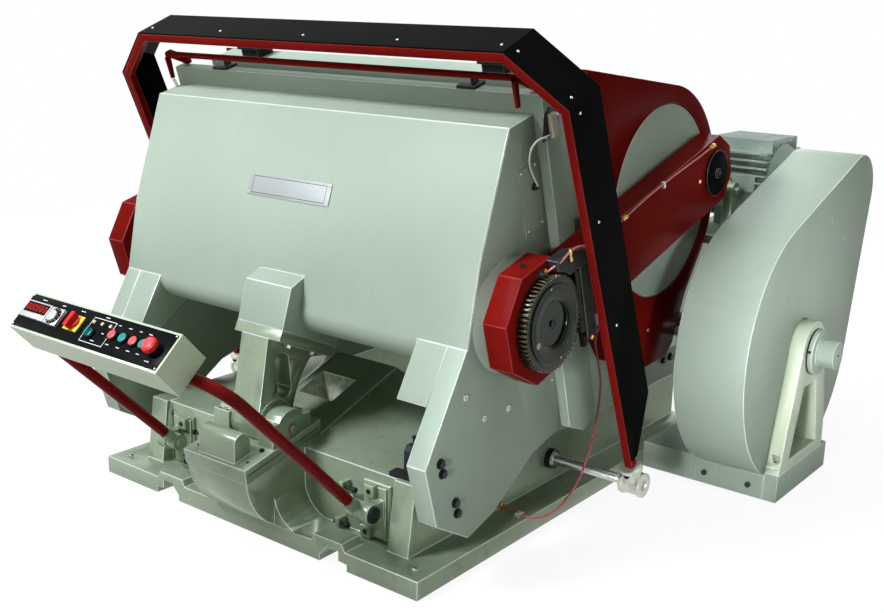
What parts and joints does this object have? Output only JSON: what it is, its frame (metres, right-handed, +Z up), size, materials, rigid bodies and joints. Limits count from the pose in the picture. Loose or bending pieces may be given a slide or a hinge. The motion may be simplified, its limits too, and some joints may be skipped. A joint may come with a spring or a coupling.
{
  "type": "die cutting machine",
  "caption": "Floor-standing platen press that cuts and creases card: tilting platen on crank arms, fixed leaning bed, hinged safety guard, covered flywheel and swinging control panel.",
  "frame": {"origin": "on the floor, at the middle of the base casting and of its four anchor holes", "axes": "+X to the operator's right, towards the flywheel; +Y to the back of the machine; +Z up"},
  "size_m": [1.9965, 2.3726, 1.3871],
  "materials": {
    "cast_green_paint": "gloss",
    "black_paint": "gloss",
    "green_paint": "gloss",
    "bright_steel": "ground",
    "die_wood": "plain",
    "red_paint": "gloss",
    "red_tube": "smooth",
    "name_plate_metal": "satin",
    "sensor_plastic": "moulded",
    "white_cable": "smooth",
    "dark_steel": "blackened",
    "zinc_fitting": "galvanised",
    "panel_plastic": "satin",
    "red_button": "gloss",
    "green_button": "gloss"
  },
  "bodies": {
    "frame": {"base_casting": "cast_green_paint", "saddle_plate": "cast_green_paint", "pivot_caps": "black_paint", "side_frames": "green_paint", "bed": "green_paint", "die_chase": "bright_steel", "die_board": "die_wood", "chase_locks": "black_paint", "gear_guard_right": "red_paint", "gear_guard_left": "red_paint", "flywheel_base": "cast_green_paint", "block_bolts": "black_paint", "outboard_pedestal": "cast_green_paint", "rotary_union": "green_paint", "flywheel_cover": "green_paint", "motor": "green_paint", "motor_mount": "green_paint", "guard_shafts": "bright_steel", "bar_brackets": "cast_green_paint", "oil_tube": "red_tube"},
    "platen": {"platen_casting": "green_paint", "front_cover": "green_paint", "platen_plate": "green_paint", "cutting_plate": "bright_steel", "center_link": "cast_green_paint", "link_bolts": "bright_steel", "trunnions": "bright_steel", "name_plate": "name_plate_metal", "feed_fingers": "black_paint", "limit_switch": "sensor_plastic", "sensor_cable": "white_cable"},
    "trip_bar": {"trip_bar": "red_paint"},
    "arm_right": {"arm_right": "red_paint", "arm_cap_right": "black_paint", "worm_housing": "black_paint"},
    "arm_left": {"arm_left": "red_paint", "arm_cap_left": "black_paint"},
    "pressure_wheel": {"worm_wheel": "dark_steel"},
    "pressure_worm": {"worm": "dark_steel"},
    "crank": {"crank_shaft": "bright_steel", "crank_gear_right": "green_paint", "crank_gear_left": "green_paint"},
    "layshaft": {"lay_shaft": "bright_steel"},
    "driveshaft": {"drive_shaft": "bright_steel"},
    "flywheel": {"flywheel": "bright_steel"},
    "motor_pulley": {"motor_pulley": "bright_steel"},
    "guard": {"guard_frame": "red_paint", "guard_panels": "black_paint", "guard_tees": "zinc_fitting"},
    "control_bar": {"control_tube": "red_paint", "panel_box": "green_paint", "panel_face": "panel_plastic"},
    "push_button_1": {"push_button_1": "red_button"},
    "push_button_2": {"push_button_2": "green_button"},
    "push_button_3": {"push_button_3": "red_button"},
    "push_button_4": {"push_button_4": "green_button"},
    "stop_button": {"stop_button": "red_button"},
    "isolator_handle": {"isolator_handle": "red_button"},
    "selector_knob": {"selector_knob": "green_button"},
    "timer_knob": {"timer_knob": "panel_plastic"}
  },
  "joints": [
    {"name": "platen_swing", "type": "hinge", "parent": "frame", "child": "platen", "pos_m": [0, -0.702, 0.312], "axis": [1, 0, 0], "range_deg": [0, 50]},
    {"name": "arm_right_swing", "type": "hinge", "parent": "platen", "child": "arm_right", "pos_m": [0.729, -0.4666, 0.686], "axis": [1, 0, 0], "range_deg": [-61, 0]},
    {"name": "arm_left_swing", "type": "hinge", "parent": "platen", "child": "arm_left", "pos_m": [-0.729, -0.4666, 0.686], "axis": [1, 0, 0], "range_deg": [-61, 0]},
    {"name": "crank_turn", "type": "hinge", "parent": "frame", "child": "crank", "pos_m": [0, 0.279, 0.885], "axis": [1, 0, 0], "range_deg": [0, 173]},
    {"name": "layshaft_turn", "type": "hinge", "parent": "frame", "child": "layshaft", "pos_m": [0, 0.299, 0.503], "axis": [1, 0, 0], "range_deg": [-634, 0]},
    {"name": "driveshaft_turn", "type": "hinge", "parent": "frame", "child": "driveshaft", "pos_m": [0, 0.57, 0.436], "axis": [1, 0, 0], "range_deg": [0, 1878]},
    {"name": "flywheel_spin", "type": "hinge", "parent": "frame", "child": "flywheel", "pos_m": [0.916, 0.57, 0.436], "axis": [1, 0, 0], "continuous": true},
    {"name": "motor_pulley_spin", "type": "hinge", "parent": "frame", "child": "motor_pulley", "pos_m": [0.9, 0.956, 0.875], "axis": [1, 0, 0], "continuous": true},
    {"name": "pressure_wheel_turn", "type": "hinge", "parent": "arm_right", "child": "pressure_wheel", "pos_m": [0.78, -0.4666, 0.686], "axis": [1, 0, 0], "range_deg": [-15, 15]},
    {"name": "pressure_worm_turn", "type": "hinge", "parent": "arm_right", "child": "pressure_worm", "pos_m": [0.78, -0.33591, 0.7254], "axis": [0, -0.2886, 0.9574], "range_deg": [-901, 901]},
    {"name": "trip_bar_swing", "type": "hinge", "parent": "platen", "child": "trip_bar", "pos_m": [0, -0.38027, 1.24896], "axis": [1, 0, 0], "range_deg": [0, 10], "stiffness_Nm_per_rad": 25, "springref_deg": -11.46},
    {"name": "guard_tilt", "type": "hinge", "parent": "frame", "child": "guard", "pos_m": [0, -0.035, 0.129], "axis": [1, 0, 0], "range_deg": [-6, 0]},
    {"name": "control_bar_swing", "type": "hinge", "parent": "frame", "child": "control_bar", "pos_m": [0, -0.712, 0.151], "axis": [1, 0, 0], "range_deg": [-15, 0]},
    {"name": "push_button_1_press", "type": "slide", "parent": "control_bar", "child": "push_button_1", "axis": [0, 0.6704, -0.742], "range_m": [0, 0.003], "stiffness_N_per_m": 300, "springref_m": -0.002},
    {"name": "push_button_2_press", "type": "slide", "parent": "control_bar", "child": "push_button_2", "axis": [0, 0.6704, -0.742], "range_m": [0, 0.003], "stiffness_N_per_m": 300, "springref_m": -0.002},
    {"name": "push_button_3_press", "type": "slide", "parent": "control_bar", "child": "push_button_3", "axis": [0, 0.6704, -0.742], "range_m": [0, 0.003], "stiffness_N_per_m": 300, "springref_m": -0.002},
    {"name": "push_button_4_press", "type": "slide", "parent": "control_bar", "child": "push_button_4", "axis": [0, 0.6704, -0.742], "range_m": [0, 0.003], "stiffness_N_per_m": 300, "springref_m": -0.002},
    {"name": "stop_button_press", "type": "slide", "parent": "control_bar", "child": "stop_button", "axis": [0, 0.6704, -0.742], "range_m": [0, 0.004], "stiffness_N_per_m": 900, "springref_m": -0.003},
    {"name": "isolator_handle_turn", "type": "hinge", "parent": "control_bar", "child": "isolator_handle", "pos_m": [-0.0645, -1.23905, 0.68854], "axis": [0, -0.6704, 0.742], "range_deg": [0, 90]},
    {"name": "selector_knob_turn", "type": "hinge", "parent": "control_bar", "child": "selector_knob", "pos_m": [0.01, -1.24869, 0.67982], "axis": [0, -0.6704, 0.742], "range_deg": [-30, 30]},
    {"name": "timer_knob_turn", "type": "hinge", "parent": "control_bar", "child": "timer_knob", "pos_m": [-0.142, -1.24053, 0.6872], "axis": [0, -0.6704, 0.742], "range_deg": [0, 270]}
  ],
  "couplings": [
    {"joint": "arm_right_swing", "follows": "platen_swing", "ratio": -1.21},
    {"joint": "arm_left_swing", "follows": "platen_swing", "ratio": -1.21},
    {"joint": "crank_turn", "follows": "platen_swing", "ratio": 3.44},
    {"joint": "layshaft_turn", "follows": "platen_swing", "ratio": -12.659},
    {"joint": "driveshaft_turn", "follows": "platen_swing", "ratio": 37.53},
    {"joint": "motor_pulley_spin", "follows": "flywheel_spin", "ratio": 4.6944},
    {"joint": "pressure_worm_turn", "follows": "pressure_wheel_turn", "ratio": 60}
  ]
}
